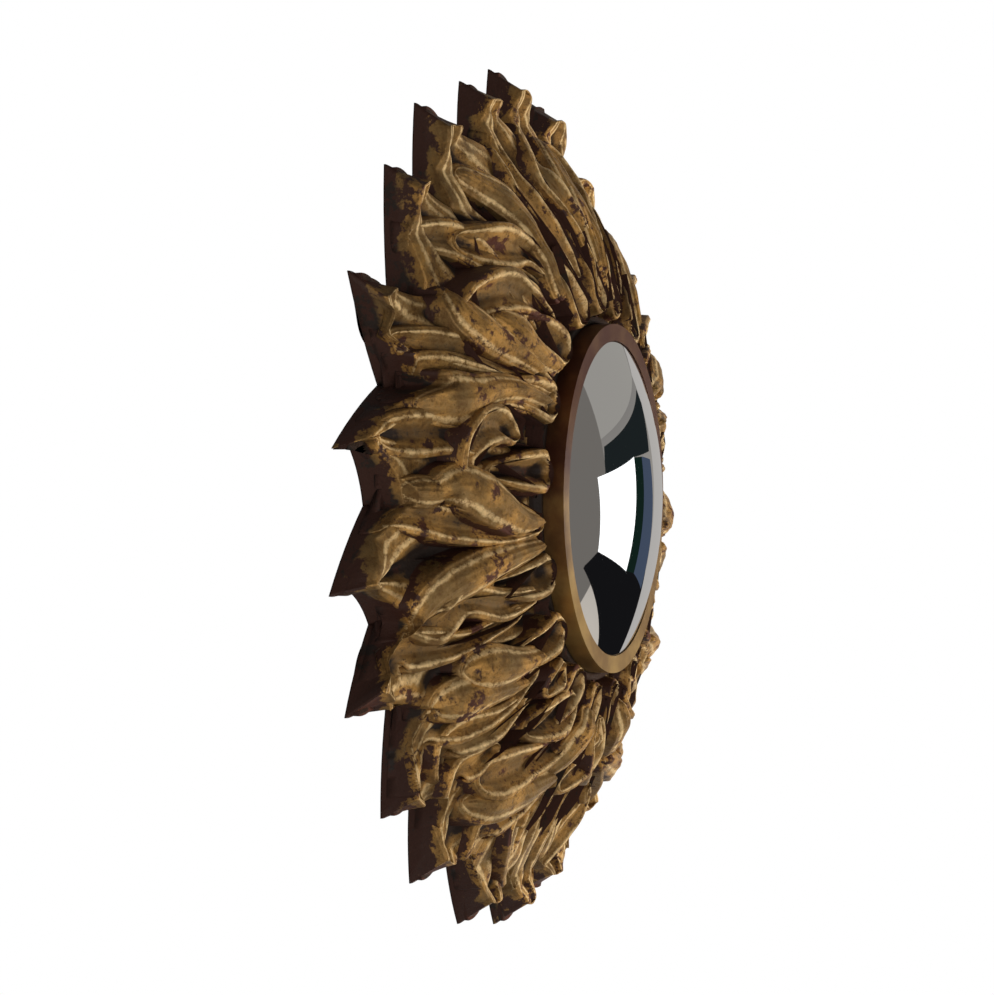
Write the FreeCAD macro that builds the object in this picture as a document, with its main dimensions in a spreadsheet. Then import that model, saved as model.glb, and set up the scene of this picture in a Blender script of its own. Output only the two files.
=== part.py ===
"""Convex butler's mirror: a gilded sunburst of acanthus leaves round a domed glass in a brass ring.

Millimetres, +Z up.  The back of the frame lies in the plane y = 0, the glass faces -Y, and the origin is the
centre of the back.  "Forward" below means towards -Y, and a height is a distance forward of the back plane.
Angles are seen from the front: 0 is to the right, 90 is the top.
"""
import FreeCAD, Part
import math
import os
import re

import Sketcher

os.makedirs("parts", exist_ok=True)
doc = FreeCAD.newDocument("convex_mirror")
V = FreeCAD.Vector
FORWARD = V(0, -1, 0)

# ------------------------------------------------------------------ driving dimensions
SIZES = {
    # glass and ring
    "ring_radius": 108.0,  # outside of the brass ring
    "ring_height": 77.7,  # front face of the brass ring
    "lip_width": 10.5,  # front lip of the ring, over the glass
    "lip_edge": 0.5,  # thickness of the lip at its inner edge
    "ring_wall": 3.2,
    "flange_width": 12.0,  # flange round the back of the ring
    "flange_thickness": 2.0,
    "flange_height": 55.0,  # back face of that flange
    "dome_radius": 233.0,  # curvature of the glass
    "glass_thickness": 3.0,
    "glass_gap": 0.3,  # clearance round and in front of the glass
    "board_thickness": 6.0,
    "board_gap": 0.5,  # clearance round the backing board
    "packing_width": 9.0,  # packing ring, across
    "packing_gap": 0.3,  # clearance of the soft packing ring
    # cast frame
    "tip_radius": 268.0,  # circle round the leaf tips
    "tip_slant": 15.0,  # how far the front of a tip lies inside its back
    "opening_gap": 0.6,  # between the frame and the ring
    "well_gap": 3.0,  # room round the ring's flange
    "collar_height": 65.5,  # plain collar beside the ring
    "collar_width": 4.0,
    "crest_height": 73.0,  # leaves beside the ring
    "crest_power": 1.6,  # how much faster the leaves fall farther out
    "valley_height": 66.0,  # valleys between the leaves, beside the ring
    "dip_height": 16.0,  # leaves where they dip, before the tips
    "dip_radius": 238.0,
    "flare_height": 23.0,  # leaves at their tips
    "rim_height": 11.0,  # frame under the leaf tips
    "leaf_width": 17.0,  # half width of a leaf at its broadest
    "root_width": 7.0,  # half width of a leaf beside the ring
    "finger_width": 10.5,  # half width of a leaf at its tip
    "leaf_fold": 4.5,  # depth of a leaf's midrib between its edges
    "fold_least": 0.4,  # that depth at a leaf's two ends, as a share
    "leaf_bend": 0.4,  # how far a leaf keeps its direction at either end, as a share of its reach
    "leaf_overrun": 6.0,  # how far a leaf runs on past its tip, before it is trimmed
    "leaf_foot": 6.0,  # where the leaves start inside the blank
    "tip_bulge": 1.5,  # how far a tip's end is rounded out
    "notch_bulge": 2.0,  # how far the outside of a finger is rounded out
    "notch_hook": 3.0,  # how far its hooked side is hollowed
    "curl_offset": 17.5,  # from the ring to the middle of a curled leaf end
    "curl_radius": 10.0,  # bowl of a curled leaf end
    "curl_length": 40.0,  # from the middle of that bowl to its tail
    "curl_wall": 1.8,  # rim of a curled leaf end, across
    "curl_height": 72.5,  # rim of a curled leaf end
    "curl_fall": 11.0,  # how far the tail of a curled leaf end lies below its bowl
    "curl_block": 17.0,  # how deep a curled leaf end stands in the leaves
    "land_width": 17.0,  # solid ring between the well and the hollow in the casting's back
    "hollow_width": 52.0,
    "hollow_wall": 15.0,  # casting left over that hollow
    "web_angle": 50.0,  # degrees of solid web at the top, for the hanger
    "pocket_depth": 8.0,  # pocket in that web, for the hanger
    "pocket_gap": 5.0,  # room round the hanger's ring in that pocket
    # turn buttons, on screws that also hold the ring's flange to the casting
    "button_length": 27.0,
    "button_width": 10.0,
    "button_thickness": 1.5,
    "button_play": 0.1,
    "pivot_offset": 6.5,  # from the ring to the buttons' pivots
    "screw_radius": 1.75,
    "screw_head": 3.6,
    "screw_dome": 1.9,
    "screw_reach": 8.0,  # shank forward of the flange's back
    "shank_play": 0.05,
    "head_taper": 0.55,  # top of a screw's head, as a share of its flat
    # hanger
    "hanger_rise": 60.0,  # from the ring up to the hanger's pivot
    "plate_width": 24.0,
    "plate_length": 15.0,
    "plate_thickness": 1.2,
    "roll_width": 10.0,
    "pin_radius": 1.5,  # round pin across the ring, in the plate's roll
    "pin_play": 0.08,
    "loop_width": 33.0,  # ring of the hanger, outside
    "loop_length": 31.5,  # from the pivot to the end of the bow
    "loop_bar": 3.0,  # width of the stamped bow
    "loop_thickness": 2.4,
    "hanger_screw_pitch": 14.0,
    "hanger_screw_drop": 8.5,  # screws below the pivot
    "hanger_screw_radius": 1.6,
    "hanger_screw_head": 3.0,
    "hanger_screw_dome": 1.6,
    "hanger_screw_length": 11.0,
    # felt pads
    "pad_radius": 6.0,
    "pad_thickness": 2.0,
    "pad_circle": 210.0,
}
BUTTONS = 4
PADS = 4

sheet = doc.addObject("Spreadsheet::Sheet", "sizes")
for row, (alias, value) in enumerate(SIZES.items(), start=1):
    sheet.set(f"A{row}", alias)
    sheet.set(f"B{row}", str(value))
    sheet.setAlias(f"B{row}", alias)
doc.recompute()


def tied(formula):
    """The formula as an expression on the sheet: every size's name gets the sheet's name before it."""
    return re.sub(r"[a-z_]+", lambda word: "sizes." * (word.group() in SIZES) + word.group(), formula)


def size(formula):
    """What a formula of the sheet's sizes comes to now."""
    return float(sheet.evalExpression(tied(formula)))


def bind(thing, **formulas):
    """Ties properties of a document object to formulas of the sheet; __ stands for a dot."""
    for name, formula in formulas.items():
        thing.setExpression(name.replace("__", "."), tied(formula))
    return thing


def point(radius, angle, height):
    """A point at a radius and an angle in degrees round the mirror's axis, and at a height."""
    turn = math.radians(angle)
    return V(radius * math.cos(turn), -height, radius * math.sin(turn))


# ------------------------------------------------------------------ builders for pieces
def line(a, b):
    return Part.LineSegment(a, b).toShape()


def arc(a, b, c):
    return Part.Arc(a, b, c).toShape()


def lathe(name, corners, angle=360.0):
    """A PartDesign body turned about the mirror's axis; corners are (radius, height) formulas."""
    body = doc.addObject("PartDesign::Body", name)
    sketch = body.newObject("Sketcher::SketchObject", name + "_profile")
    flat = [f for f in body.Origin.OriginFeatures if f.Role == "XY_Plane"][0]
    sketch.AttachmentSupport = [(flat, "")]
    sketch.MapMode = "FlatFace"
    ends = [V(size(radius), -size(height), 0) for radius, height in corners]
    last = len(ends) - 1
    for i, start in enumerate(ends):
        sketch.addGeometry(Part.LineSegment(start, ends[i + 1 if i < last else 0]), False)
    for i in range(len(ends)):
        sketch.addConstraint(Sketcher.Constraint("Coincident", i, 2, i + 1 if i < last else 0, 1))
    for i, (radius, height) in enumerate(corners):
        if radius == "0":
            sketch.addConstraint(Sketcher.Constraint("PointOnObject", i, 1, -2))
        else:
            x = sketch.addConstraint(Sketcher.Constraint("DistanceX", -1, 1, i, 1, size(radius)))
            sketch.setExpression(f"Constraints[{x}]", tied(radius))
        y = sketch.addConstraint(Sketcher.Constraint("DistanceY", i, 1, -1, 1, size(height)))
        sketch.setExpression(f"Constraints[{y}]", tied(height))
    turn = body.newObject("PartDesign::Revolution", name + "_turn")
    turn.Profile = sketch
    turn.ReferenceAxis = (sketch, ["V_Axis"])
    turn.Angle = angle
    return body


def rod(name, radius, length, height, x="0", z="0"):
    """A cylinder that runs forward from a height."""
    made = doc.addObject("Part::Cylinder", name)
    made.Placement.Rotation = FreeCAD.Rotation(V(1, 0, 0), 90)
    bind(made, Radius=radius, Height=length, Placement__Base__x=x, Placement__Base__z=z)
    return bind(made, Placement__Base__y=f"-({height})")


def joined(name, pieces):
    """One solid fused from several."""
    made = doc.addObject("Part::MultiFuse", name)
    made.Shapes = pieces
    return made


def cut(name, base, tool):
    made = doc.addObject("Part::Cut", name)
    made.Base = base
    made.Tool = tool
    return made


def group(name, pieces):
    """Like pieces that stay separate solids."""
    made = doc.addObject("Part::Compound", name)
    made.Links = pieces
    return made


def coded(name, shape):
    made = doc.addObject("Part::Feature", name)
    made.Shape = shape
    return made


def screw(name, shank, head, dome, reach, seat, x, z):
    """A screw with a tapered head, whose flat lies at the height seat; the shank runs forward from there."""
    top = doc.addObject("Part::Cone", name + "_head")
    top.Placement.Rotation = FreeCAD.Rotation(V(1, 0, 0), -90)
    bind(top, Radius1=head, Radius2=f"({head}) * head_taper", Height=dome)
    bind(top, Placement__Base__x=x, Placement__Base__z=z, Placement__Base__y=f"-({seat})")
    body = rod(name + "_shank", shank, reach, seat, x, z)
    return joined(name, [top, body])


def around(circle, angle):
    """x and z formulas of a place on a circle round the mirror's axis."""
    return f"{circle} * cos({angle} deg)", f"{circle} * sin({angle} deg)"


# ------------------------------------------------------------------ brass ring, glass, packing, board
BORE = "(ring_radius - ring_wall)"
LIP = "(ring_radius - lip_width)"
RIM = "(ring_radius - ring_wall - glass_gap)"
FLANGE = "(ring_radius + flange_width)"
FLANGE_FRONT = "(flange_height + flange_thickness)"


def fall(radius, sphere="dome_radius"):
    """Formula: how far a sphere lies below its top at a radius."""
    return f"({sphere} - sqrt({sphere}^2 - {radius}^2))"


SEAT = f"(ring_height - lip_edge - ({fall(RIM)} - {fall(LIP)}))"
GLASS_TOP = f"(ring_height - lip_edge - glass_gap + {fall(LIP)})"
GLASS_CENTRE = f"({GLASS_TOP} - dome_radius)"
GLASS_BACK = "(dome_radius - glass_thickness)"
BOARD_FRONT = "(flange_height + board_thickness)"
PIVOT_CIRCLE = "(ring_radius + pivot_offset)"
SCREW_HOLE = "screw_radius + shank_play"
BUTTON_SEAT = "(flange_height - button_thickness - 2 * button_play)"
BUTTON_ANGLES = [360 / BUTTONS * i for i in range(BUTTONS)]

ring_turned = lathe(
    "ring_turned",
    [
        (LIP, "ring_height"),
        (LIP, "ring_height - lip_edge"),
        (RIM, SEAT),
        (BORE, SEAT),
        (BORE, "flange_height"),
        (FLANGE, "flange_height"),
        (FLANGE, FLANGE_FRONT),
        ("ring_radius", FLANGE_FRONT),
        ("ring_radius", "ring_height"),
    ],
)
flange_holes = []
for angle in BUTTON_ANGLES:
    x, z = around(PIVOT_CIRCLE, angle)
    hole = rod(f"hole_{angle:.0f}", SCREW_HOLE, "screw_reach + 1", "flange_height - 0.5", x, z)
    flange_holes.append(hole)
holes = group("flange_holes", flange_holes)
mirror_ring = cut("mirror_ring", ring_turned, holes)

dome = doc.addObject("Part::Sphere", "dome")
bind(dome, Radius="dome_radius", Placement__Base__y=f"-{GLASS_CENTRE}")
dome_back = doc.addObject("Part::Sphere", "dome_back")
bind(dome_back, Radius=GLASS_BACK, Placement__Base__y=f"-{GLASS_CENTRE}")
blank_disc = rod("glass_disc", RIM, "dome_radius / 4", f"{GLASS_TOP} - dome_radius / 5")
glass_cap = doc.addObject("Part::MultiCommon", "glass_cap")
glass_cap.Shapes = [dome, blank_disc]
convex_mirror = cut("convex_mirror", glass_cap, dome_back)

PACKING_INNER = f"({RIM} - packing_width)"


def behind_glass(radius):
    """Formula: height of the packing's front, just behind the glass, at a radius."""
    return f"({GLASS_CENTRE} + sqrt({GLASS_BACK}^2 - {radius}^2) - packing_gap)"


packing_ring = lathe(
    "packing_ring",
    [
        (PACKING_INNER, f"{BOARD_FRONT} + packing_gap"),
        (RIM, f"{BOARD_FRONT} + packing_gap"),
        (RIM, behind_glass(RIM)),
        (PACKING_INNER, behind_glass(PACKING_INNER)),
    ],
)
backing_board = rod("backing_board", f"{BORE} - board_gap", "board_thickness", "flange_height")

# ------------------------------------------------------------------ turn buttons and their screws
turn_buttons = []
button_screws = []
for number, angle in enumerate(BUTTON_ANGLES, start=1):
    x, z = around(PIVOT_CIRCLE, angle)
    name = f"turn_button_{number}"
    bar = doc.addObject("Part::Box", name + "_bar")
    bind(bar, Length="button_length - button_width", Width="button_thickness", Height="button_width")
    bind(bar, Placement__Base__x="button_width - button_length", Placement__Base__z="-button_width / 2")
    ends = []
    for end, place in (("pivot_end", "0"), ("free_end", "button_width - button_length")):
        ends.append(rod(f"{name}_{end}", "button_width / 2", "button_thickness", "-button_thickness", place))
    plate = joined(name + "_plate", [bar] + ends)
    hole = rod(name + "_hole", SCREW_HOLE, "2 * button_thickness", "-1.5 * button_thickness")
    button = cut(name, plate, hole)
    button.Placement.Rotation = FreeCAD.Rotation(FORWARD, angle)
    bind(button, Placement__Base__x=x, Placement__Base__z=z)
    bind(button, Placement__Base__y="button_play - flange_height")
    turn_buttons.append(button)
    reach = "screw_reach + button_thickness + 2 * button_play - 0.5"
    sizes = ("screw_radius", "screw_head", "screw_dome", reach, BUTTON_SEAT)
    button_screws.append(screw(f"button_screw_{number}", *sizes, x, z))
turn_button_screws = group("turn_button_screws", button_screws)

# ------------------------------------------------------------------ hanger
HANGER = "(ring_radius + hanger_rise)"
ROLL = "(pin_radius + pin_play + plate_thickness)"
PIVOT = f"(pocket_depth - {ROLL})"
PLATE_BACK = "(pocket_depth - plate_thickness)"


def across(name, radius, length, z, height):
    """A cylinder that lies along X, centred on the mirror's upright centre line."""
    made = doc.addObject("Part::Cylinder", name)
    made.Placement.Rotation = FreeCAD.Rotation(V(0, 1, 0), 90)
    bind(made, Radius=radius, Height=length, Placement__Base__x=f"-({length}) / 2")
    return bind(made, Placement__Base__z=z, Placement__Base__y=f"-({height})")


strap = doc.addObject("Part::Box", "hanger_strap")
bind(strap, Length="plate_width", Width="plate_thickness", Height="plate_length - plate_thickness")
bind(strap, Placement__Base__x="-plate_width / 2", Placement__Base__y="-pocket_depth")
bind(strap, Placement__Base__z=f"{HANGER} - plate_length")
roll_out = across("roll_outside", ROLL, "roll_width", HANGER, PIVOT)
roll_in = across("roll_inside", "pin_radius + pin_play", "roll_width + 2", HANGER, PIVOT)
roll = cut("hanger_roll", roll_out, roll_in)
strap_and_roll = joined("strap_and_roll", [strap, roll])
hanger_screw_list = []
strap_holes = []
for side in (-1, 1):
    x = f"{side} * hanger_screw_pitch / 2"
    z = f"{HANGER} - hanger_screw_drop"
    name = "hanger_screw_" + ("left" if side < 0 else "right")
    sizes = ("hanger_screw_radius", "hanger_screw_head", "hanger_screw_dome", "hanger_screw_length")
    hanger_screw_list.append(screw(name, *sizes, PLATE_BACK, x, z))
    reach = "hanger_screw_length + shank_play"
    strap_holes.append(rod(name + "_hole", "hanger_screw_radius + shank_play", reach, PLATE_BACK, x, z))
strap_hole_pair = group("strap_holes", strap_holes)
hanger_plate = cut("hanger_plate", strap_and_roll, strap_hole_pair)
hanger_screws = group("hanger_screws", hanger_screw_list)


def loop_blank(name, half, thickness):
    """The hanger ring's outline as it hangs: legs from the pivot down to a round bow, half wide each way."""
    legs = doc.addObject("Part::Box", name + "_legs")
    bind(legs, Length=f"2 * ({half})", Width=thickness, Height="loop_length - loop_width / 2")
    bind(legs, Placement__Base__x=f"-({half})", Placement__Base__y=f"-({PIVOT} + ({thickness}) / 2)")
    bind(legs, Placement__Base__z=f"{HANGER} - loop_length + loop_width / 2")
    low = f"{PIVOT} - ({thickness}) / 2"
    bow = rod(name + "_bow", half, thickness, low, "0", f"{HANGER} - loop_length + loop_width / 2")
    bow.Angle = 180
    bow.Placement.Rotation = FreeCAD.Rotation(V(0, 1, 0), 180) * bow.Placement.Rotation
    return joined(name, [legs, bow])


loop_outside = loop_blank("loop_outside", "loop_width / 2", "loop_thickness")
loop_inside = loop_blank("loop_inside", "loop_width / 2 - loop_bar", "2 * loop_thickness")
loop_legs = cut("loop_bow", loop_outside, loop_inside)
loop_pin = across("loop_pin", "pin_radius", "loop_width", HANGER, PIVOT)
hanger_ring = joined("hanger_ring", [loop_legs, loop_pin])

bumper_list = []
for number in range(PADS):
    x, z = around("pad_circle", 45 + 360 / PADS * number)
    bumper_list.append(rod(f"pad_{number + 1}", "pad_radius", "pad_thickness", "-pad_thickness", x, z))
bumper_pads = group("bumper_pads", bumper_list)

# ------------------------------------------------------------------ the cast frame: heights of its front
def along(radius):
    """Formula: 0 beside the ring, 1 where the leaves dip."""
    return f"(({radius} - ring_radius) / (dip_radius - ring_radius))"


def valley(radius):
    """Formula: height between the leaves, which falls evenly."""
    return f"(rim_height + (valley_height - rim_height) * (1 - {along(radius)}))"


def crest(radius):
    """Height of the leaves' edges: it falls ever faster to the dip, then flares up to the tips."""
    if radius < size("dip_radius"):
        out = size(along(radius))
        return size("crest_height") - size("crest_height - dip_height") * out ** size("crest_power")
    out = (radius - size("dip_radius")) / size("tip_radius - tip_slant - dip_radius")
    return size("dip_height") + size("flare_height - dip_height") * math.sin(min(out, 1.0) * math.pi / 2)


# Each leaf tip, counter-clockwise from the top: the angle of its outer corner, how far that corner lies
# inside the tip circle, the way its finger points (1 up, -1 down), the angle of the leaf's root beside the
# ring, and the angle and depth of the notch that follows.  Left of the centre line, then the lone tip at
# the bottom; the right half mirrors the left one, apart from the two tips right of the top.
LEFT_TIPS = [
    (96.0, 0.0, 1, 91.0, 98.5, 51.0),
    (107.5, 7.0, 1, 104.0, 111.5, 49.0),
    (124.0, 0.0, 1, 116.0, 133.2, 49.0),
    (137.0, 4.0, 1, 126.0, 150.2, 52.0),
    (154.4, 0.0, 1, 145.0, 163.8, 60.0),
    (175.4, 7.0, -1, 165.0, 182.1, 50.0),
    (192.0, 1.0, -1, 188.0, 199.0, 47.0),
    (206.6, 0.0, -1, 211.0, 212.9, 49.0),
    (223.4, 7.5, -1, 229.0, 229.1, 42.0),
    (236.5, 3.0, -1, 241.0, 246.5, 38.0),
    (255.0, 2.0, -1, 255.0, 264.0, 41.0),
]
BOTTOM_TIP = (269.0, 0.0, -1, 270.0, 276.0, 41.0)
UPPER_RIGHT_TIPS = [(60.5, 8.0, 1, 64.0, 70.0, 46.0), (76.4, 0.0, 1, 78.0, 85.0, 49.0)]
CURL_ANGLES = [97.0, 116.0, 136.0, 154.5, 174.4, 200.6, 220.0, 243.0, 262.0]
# Lesser leaves of the left half, which the right half mirrors: stations from root to tip as (radius, angle,
# half width, lift above the crest), and the depth of the fold, negative for a leaf turned over to a ridge.
BLADES = [
    ([(140, 90, 4, 0), (170, 92, 9, 3), (205, 94, 10, 2), (227, 91, 6, 0)], 3.0),
    ([(140, 108, 4, 0), (170, 111, 9, 3), (200, 113, 11, 2), (230, 111, 7, 0)], 3.0),
    ([(156, 123, 5, 1), (176, 127, 9, 4), (191, 132, 12, 6), (205, 137, 9, 4)], 5.0),
    ([(146, 134, 5, 1), (166, 138, 9, 5), (184, 142, 12, 7), (197, 146, 9, 4)], 5.0),
    ([(150, 141, 4, 0), (185, 137, 9, 1), (215, 139, 10, 1), (238, 144, 6, 0)], 3.0),
    ([(123, 150, 5, 0), (150, 152, 10, 2), (186, 154, 12, 4), (216, 150, 5, 0)], 3.0),
    ([(126, 157, 5, 0), (160, 159, 9, 2), (205, 162, 12, 2), (236, 165, 7, 1)], 3.0),
    ([(172, 159, 6, 1), (188, 164, 11, 7), (204, 166, 14, 9), (223, 168, 8, 4)], -3.0),
    ([(148, 166, 6, 2), (166, 166, 9, 6), (182, 169, 10, 8), (190, 176, 6, 4)], 4.0),
    ([(196, 172, 7, 0), (220, 171, 12, 2), (245, 170, 12, 2), (260, 174, 5, 0)], 4.0),
    ([(130, 187, 5, 1), (154, 185, 10, 4), (178, 181, 12, 7), (197, 179, 10, 5), (212, 181, 4, 0)], -3.0),
    ([(127, 193, 4, 0), (162, 193, 8, 2), (190, 194, 11, 3), (213, 196, 10, 3), (230, 200, 5, 1)], -2.0),
    ([(135, 205, 4, 0), (165, 203, 9, 2), (195, 201, 12, 3), (222, 201, 10, 2), (238, 206, 6, 1)], 4.0),
    ([(130, 226, 4, 0), (160, 223, 9, 2), (195, 220, 12, 3), (225, 217, 11, 2), (242, 219, 5, 0)], 4.0),
    ([(140, 233, 4, 0), (165, 229, 9, 3), (195, 226, 11, 3), (218, 226, 5, 0)], -2.0),
    ([(132, 248, 4, 0), (160, 246, 9, 2), (195, 242, 12, 3), (228, 246, 9, 1)], 4.0),
]


def mirrored_tips():
    """The right half, counter-clockwise from the bottom, up to the tips that have places of their own."""
    rows = []
    for number in range(len(LEFT_TIPS) - 1, 2, -1):
        angle, drop, way, root, _, _ = LEFT_TIPS[number]
        _, _, _, _, notch, depth = LEFT_TIPS[number - 1]
        rows.append((180 - angle, drop, way, 180 - root, 180 - notch, depth))
    return rows


TIPS = LEFT_TIPS + [BOTTOM_TIP] + mirrored_tips() + UPPER_RIGHT_TIPS


def finger(tip):
    """The two corners of a tip on the back plane: the outer one, and the one nearer the centre line."""
    angle, drop, way, _, _, _ = tip
    outer = point(size("tip_radius") - drop, angle, 0)
    side = -1.0 if outer.x < 0 else 1.0
    inner = outer - V(side * 2 * size("finger_width"), 0, way * size("finger_width") / 3)
    return outer, inner


def bulged(a, b, rise):
    """An arc from a to b whose middle lies outside the straight line by rise."""
    middle = (a + b) * 0.5
    across_line = (b - a).cross(V(0, 1, 0))
    across_line.normalize()
    if across_line.dot(middle) < 0:
        across_line = across_line * -1
    return arc(a, middle + across_line * rise, b)


def outline():
    """The frame seen from the front: blunt hooked fingers with rounded notches between them."""
    edges = []
    for number, tip in enumerate(TIPS):
        before = TIPS[number - 1]
        start = point(size("tip_radius") - before[5], before[4], 0)
        finish = point(size("tip_radius") - tip[5], tip[4], 0)
        outer, inner = finger(tip)
        hooked_first = (tip[2] > 0) == (outer.x < 0)
        first, second = (inner, outer) if hooked_first else (outer, inner)
        hooked, plain = -size("notch_hook"), size("notch_bulge")
        edges.append(bulged(start, first, hooked if hooked_first else plain))
        edges.append(bulged(first, second, size("tip_bulge")))
        edges.append(bulged(second, finish, plain if hooked_first else hooked))
    return Part.Wire(edges)


def envelope():
    """Room for the tips: a turned solid whose side slants in towards the front."""
    radius = size("tip_radius")
    front = radius - size("tip_slant")
    top = size("crest_height * 1.5")
    corners = [
        V(0, 0, 0),
        V(radius + 1, 0, 0),
        V(front, -size("flare_height"), 0),
        V(front, -top, 0),
        V(0, -top, 0),
    ]
    return Part.Face(Part.makePolygon(corners + corners[:1])).revolve(V(0, 0, 0), V(0, 1, 0), 360)


def blank():
    """The turned body under the leaves, with its plain collar beside the ring."""
    inner = size("ring_radius + opening_gap")
    collar = inner + size("collar_width")
    height = size("collar_height")
    slope_height = size(valley("(ring_radius + opening_gap + collar_width)"))
    bottom = size("rim_height")
    rim = size("tip_radius") + 2
    corners = [
        V(inner, 0, 0),
        V(inner, -height, 0),
        V(collar, -height, 0),
        V(collar, -slope_height, 0),
        V(size("dip_radius"), -bottom, 0),
        V(rim, -bottom, 0),
        V(rim, 0, 0),
    ]
    return Part.Face(Part.makePolygon(corners + corners[:1])).revolve(V(0, 0, 0), V(0, 1, 0), 360)


def ribbon(stations, fold):
    """A leaf lofted through stations (centre on the back plane, half width, height of its edges).

    Each section has upright flanks and a fold: the midrib lies below the two edges, or above them where
    fold is negative, and the fold runs out towards both ends.
    """
    wires = []
    last = len(stations) - 1
    foot = FORWARD * size("leaf_foot")
    for number, (centre, half, height) in enumerate(stations):
        heading = stations[min(number + 1, last)][0] - stations[max(number - 1, 0)][0]
        heading.normalize()
        beside = heading.cross(FORWARD)
        least = size("fold_least")
        shallow = least + (1 - least) * math.sin(math.pi * number / last)
        corners = [
            centre - beside * half + foot,
            centre - beside * half + FORWARD * height,
            centre + FORWARD * (height - fold * shallow),
            centre + beside * half + FORWARD * height,
            centre + beside * half + foot,
        ]
        wires.append(Part.makePolygon(corners + corners[:1]))
    return Part.makeLoft(wires, True, True)


def leaf(tip):
    """A main leaf: its spine leaves the root square to the ring and reaches the blunt finger upright."""
    _, _, way, root, _, _ = tip
    outer, inner = finger(tip)
    upright = V(0, 0, way)
    end = (outer + inner) * 0.5 + upright * size("leaf_overrun")
    rooted = size("ring_radius + curl_offset")
    start = point(rooted, root, 0)
    reach = (end - start).Length
    arm = size("leaf_bend") * reach
    bends = [start, point(rooted + arm, root, 0), end - upright * arm, end]
    stations = []
    for station in (0.0, 0.25, 0.5, 0.75, 1.0):
        left = 1 - station
        weights = (left**3, 3 * left**2 * station, 3 * left * station**2, station**3)
        centre = sum((bend * weight for bend, weight in zip(bends, weights)), V(0, 0, 0))
        half = size("root_width") * left + size("finger_width") * station
        half += size("leaf_width - finger_width") * math.sin(math.pi * station)
        stations.append((centre, half, crest(math.hypot(centre.x, centre.z))))
    return ribbon(stations, size("leaf_fold"))


def blades(rows, fold):
    """A lesser leaf of the left half and its mirror image on the right."""
    made = []
    for flip in (False, True):
        stations = []
        for radius, angle, half, lift in rows:
            centre = point(radius, 180 - angle if flip else angle, 0)
            stations.append((centre, half, crest(radius) + lift))
        made.append(ribbon(stations, fold))
    return made


def teardrop(bowl, tail):
    """Half a scoop's outline in the plane Z = 0: from its back end round the bowl to its tail, both on X."""
    touch = math.acos(bowl / tail)
    middle = (math.pi + touch) / 2
    shoulder = V(bowl * math.cos(touch), bowl * math.sin(touch), 0)
    over_bowl = V(bowl * math.cos(middle), bowl * math.sin(middle), 0)
    return [arc(V(-bowl, 0, 0), over_bowl, shoulder), line(shoulder, V(tail, 0, 0))]


def scoop(start, finish, bowl):
    """A leaf end curled up into a scoop, from its bowl to its tail: its block, and the hollow cut in that."""
    length = (finish - start).Length
    rim = teardrop(bowl, length)
    other_side = [edge.mirror(V(0, 0, 0), V(0, 1, 0)) for edge in rim]
    block = Part.Face(Part.Wire(Part.__sortEdges__(rim + other_side))).extrude(V(0, 0, size("curl_block")))
    mouth, tail = bowl - size("curl_wall"), length - 3 * size("curl_wall")
    half = Part.Wire(teardrop(mouth, tail) + [line(V(tail, 0, 0), V(-mouth, 0, 0))])
    pit = Part.Face(half).revolve(V(0, 0, 0), V(1, 0, 0), 360)
    turn = FreeCAD.Rotation(finish - start, V(0, 0, 0), FORWARD * -1, "XZY")
    block.Placement = FreeCAD.Placement(start, turn)
    pit.Placement = FreeCAD.Placement(start, turn)
    return block, pit


def curl(angle):
    """The curled leaf end beside the ring, at an angle."""
    near = size("ring_radius + curl_offset")
    far = near + size("curl_length")
    start = point(near, angle, size("curl_height"))
    return scoop(start, point(far, angle, size("curl_height - curl_fall")), size("curl_radius"))


curl_angles = CURL_ANGLES + [180 - angle for angle in CURL_ANGLES]
curls = [curl(angle) for angle in curl_angles]
lesser = [one for rows, fold in BLADES for one in blades(rows, fold)]
relief = blank().multiFuse([leaf(tip) for tip in TIPS] + lesser + [block for block, _ in curls])
relief = relief.cut([pit for _, pit in curls])
relief = relief.common(Part.Face(outline()).extrude(FORWARD * size("crest_height * 1.5")))
relief = relief.common(envelope())
casting = coded("casting", relief.Solids[0])

# ------------------------------------------------------------------ the cast frame: its back
opening = rod("opening", "ring_radius + opening_gap", "2 * ring_height", "-1")
well = rod("well", f"{FLANGE} + well_gap", f"{FLANGE_FRONT} + 1", "-1")
HOLLOW_INNER = f"({FLANGE} + well_gap + land_width)"
HOLLOW_OUTER = f"({HOLLOW_INNER} + hollow_width)"
hollow = lathe(
    "back_hollow",
    [
        (HOLLOW_INNER, "-1"),
        (HOLLOW_OUTER, "-1"),
        (HOLLOW_OUTER, f"{valley(HOLLOW_OUTER)} - hollow_wall"),
        (HOLLOW_INNER, f"{valley(HOLLOW_INNER)} - hollow_wall"),
    ],
    size("360 - web_angle"),
)
hollow.Placement.Rotation = FreeCAD.Rotation(FORWARD, 90 - size("web_angle") / 2)
pocket = doc.addObject("Part::Box", "hanger_pocket")
bind(pocket, Length="loop_width + 2 * pocket_gap", Height="2 * (loop_length + pocket_gap)")
bind(pocket, Width="pocket_depth + 1", Placement__Base__y="-pocket_depth")
bind(pocket, Placement__Base__x="-loop_width / 2 - pocket_gap")
bind(pocket, Placement__Base__z=f"{HANGER} - loop_length - pocket_gap")
screw_holes = flange_holes + strap_holes
back = group("back_cuts", [opening, well, hollow, pocket] + screw_holes)
leaf_frame = cut("leaf_frame", casting, back)

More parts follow.
